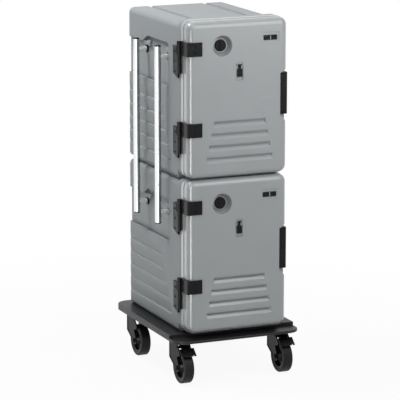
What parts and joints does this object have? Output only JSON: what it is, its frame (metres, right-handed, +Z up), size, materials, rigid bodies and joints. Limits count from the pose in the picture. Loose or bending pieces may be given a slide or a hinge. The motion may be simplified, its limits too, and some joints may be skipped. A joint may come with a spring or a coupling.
{
  "type": "insulated food transport cart",
  "caption": "Stacked insulated food pan carriers with hinged front doors, joined by steel side push bars, on a swivel-caster dolly with foot brakes.",
  "frame": {"origin": "on the floor under the middle of the dolly", "axes": "+Z up, -Y the front where the doors are, +X the latch side, hinges on -X"},
  "size_m": [0.526, 0.654, 1.403],
  "materials": {
    "grey_polyethylene": "rotomoulded polyethylene with a fine pebbled skin, satin",
    "door_polyethylene": "rotomoulded polyethylene with a fine pebbled skin, satin",
    "charcoal_plastic": "moulded polyethylene, satin",
    "black_nylon": "moulded glass-filled nylon, satin",
    "pale_ring": "smooth moulded",
    "gasket_rubber": "matte",
    "stainless": "polished",
    "dark_steel": "black powder coat",
    "grey_tyre": "non-marking rubber, matte",
    "wheel_plastic": "moulded, satin"
  },
  "bodies": {
    "cart": {"dolly_base_plate": "charcoal_plastic", "dolly_deck": "charcoal_plastic", "caster_top_plates": "dark_steel", "lower_box_body": "grey_polyethylene", "lower_hinge_body_leaves": "black_nylon", "lower_hinge_pins": "stainless", "lower_latch_base": "black_nylon", "lower_latch_pin": "stainless", "upper_box_body": "grey_polyethylene", "upper_hinge_body_leaves": "black_nylon", "upper_hinge_pins": "stainless", "upper_latch_base": "black_nylon", "upper_latch_pin": "stainless", "left_push_bars": "stainless", "left_bar_end_caps": "black_nylon", "left_bar_standoffs": "stainless", "left_standoff_bushes": "black_nylon", "right_push_bars": "stainless", "right_bar_end_caps": "black_nylon", "right_bar_standoffs": "stainless", "right_standoff_bushes": "black_nylon"},
    "lower_door": {"lower_door": "door_polyethylene", "lower_door_gasket": "gasket_rubber", "lower_hinge_door_leaves": "black_nylon", "lower_latch_keeper": "stainless", "lower_vent_ring": "pale_ring", "lower_card_clip_base": "door_polyethylene", "lower_blank_tag": "black_nylon"},
    "lower_latch": {"lower_latch_lever": "black_nylon"},
    "lower_vent": {"lower_vent_knob": "black_nylon"},
    "lower_clip": {"lower_card_clip_tongue": "black_nylon"},
    "upper_door": {"upper_door": "door_polyethylene", "upper_door_gasket": "gasket_rubber", "upper_hinge_door_leaves": "black_nylon", "upper_latch_keeper": "stainless", "upper_vent_ring": "pale_ring", "upper_card_clip_base": "door_polyethylene", "upper_blank_tag": "black_nylon"},
    "upper_latch": {"upper_latch_lever": "black_nylon"},
    "upper_vent": {"upper_vent_knob": "black_nylon"},
    "upper_clip": {"upper_card_clip_tongue": "black_nylon"},
    "front_left_swivel": {"front_left_fork": "dark_steel", "front_left_axle": "dark_steel"},
    "front_left_wheel": {"front_left_tyre": "grey_tyre", "front_left_wheel_core": "wheel_plastic"},
    "front_left_pedal": {"front_left_brake_pedal": "black_nylon"},
    "front_right_swivel": {"front_right_fork": "dark_steel", "front_right_axle": "dark_steel"},
    "front_right_wheel": {"front_right_tyre": "grey_tyre", "front_right_wheel_core": "wheel_plastic"},
    "front_right_pedal": {"front_right_brake_pedal": "black_nylon"},
    "back_left_swivel": {"back_left_fork": "dark_steel", "back_left_axle": "dark_steel"},
    "back_left_wheel": {"back_left_tyre": "grey_tyre", "back_left_wheel_core": "wheel_plastic"},
    "back_right_swivel": {"back_right_fork": "dark_steel", "back_right_axle": "dark_steel"},
    "back_right_wheel": {"back_right_tyre": "grey_tyre", "back_right_wheel_core": "wheel_plastic"}
  },
  "joints": [
    {"name": "lower_door_hinge", "type": "hinge", "parent": "cart", "child": "lower_door", "pos_m": [-0.216, -0.242, 0.5385], "axis": [0, 0, -1], "range_deg": [0, 180]},
    {"name": "lower_latch_pivot", "type": "hinge", "parent": "cart", "child": "lower_latch", "pos_m": [0.2145, -0.222, 0.5015], "axis": [0, 0, 1], "range_deg": [0, 100]},
    {"name": "lower_vent_turn", "type": "hinge", "parent": "lower_door", "child": "lower_vent", "pos_m": [-0.066, -0.279, 0.7], "axis": [0, -1, 0], "range_deg": [0, 90]},
    {"name": "lower_clip_pivot", "type": "hinge", "parent": "lower_door", "child": "lower_clip", "pos_m": [0.005, -0.306, 0.6245], "axis": [-1, 0, 0], "range_deg": [0, 20], "stiffness_Nm_per_rad": 0.15},
    {"name": "upper_door_hinge", "type": "hinge", "parent": "cart", "child": "upper_door", "pos_m": [-0.216, -0.242, 1.144], "axis": [0, 0, -1], "range_deg": [0, 180]},
    {"name": "upper_latch_pivot", "type": "hinge", "parent": "cart", "child": "upper_latch", "pos_m": [0.2145, -0.222, 1.107], "axis": [0, 0, 1], "range_deg": [0, 100]},
    {"name": "upper_vent_turn", "type": "hinge", "parent": "upper_door", "child": "upper_vent", "pos_m": [-0.066, -0.279, 1.3055], "axis": [0, -1, 0], "range_deg": [0, 90]},
    {"name": "upper_clip_pivot", "type": "hinge", "parent": "upper_door", "child": "upper_clip", "pos_m": [0.005, -0.306, 1.23], "axis": [-1, 0, 0], "range_deg": [0, 20], "stiffness_Nm_per_rad": 0.15},
    {"name": "front_left_swivel", "type": "hinge", "parent": "cart", "child": "front_left_swivel", "pos_m": [-0.208, -0.222, 0.158], "axis": [0, 0, 1], "continuous": true},
    {"name": "front_left_wheel_spin", "type": "hinge", "parent": "front_left_swivel", "child": "front_left_wheel", "pos_m": [-0.208, -0.263, 0.0625], "axis": [1, 0, 0], "continuous": true},
    {"name": "front_left_pedal_pivot", "type": "hinge", "parent": "front_left_swivel", "child": "front_left_pedal", "pos_m": [-0.208, -0.252, 0.141], "axis": [1, 0, 0], "range_deg": [0, 12]},
    {"name": "front_right_swivel", "type": "hinge", "parent": "cart", "child": "front_right_swivel", "pos_m": [0.208, -0.222, 0.158], "axis": [0, 0, 1], "continuous": true},
    {"name": "front_right_wheel_spin", "type": "hinge", "parent": "front_right_swivel", "child": "front_right_wheel", "pos_m": [0.208, -0.263, 0.0625], "axis": [1, 0, 0], "continuous": true},
    {"name": "front_right_pedal_pivot", "type": "hinge", "parent": "front_right_swivel", "child": "front_right_pedal", "pos_m": [0.208, -0.252, 0.141], "axis": [1, 0, 0], "range_deg": [0, 12]},
    {"name": "back_left_swivel", "type": "hinge", "parent": "cart", "child": "back_left_swivel", "pos_m": [-0.208, 0.222, 0.158], "axis": [0, 0, 1], "continuous": true},
    {"name": "back_left_wheel_spin", "type": "hinge", "parent": "back_left_swivel", "child": "back_left_wheel", "pos_m": [-0.208, 0.181, 0.0625], "axis": [1, 0, 0], "continuous": true},
    {"name": "back_right_swivel", "type": "hinge", "parent": "cart", "child": "back_right_swivel", "pos_m": [0.208, 0.222, 0.158], "axis": [0, 0, 1], "continuous": true},
    {"name": "back_right_wheel_spin", "type": "hinge", "parent": "back_right_swivel", "child": "back_right_wheel", "pos_m": [0.208, 0.263, 0.0625], "axis": [1, 0, 0], "continuous": true}
  ]
}
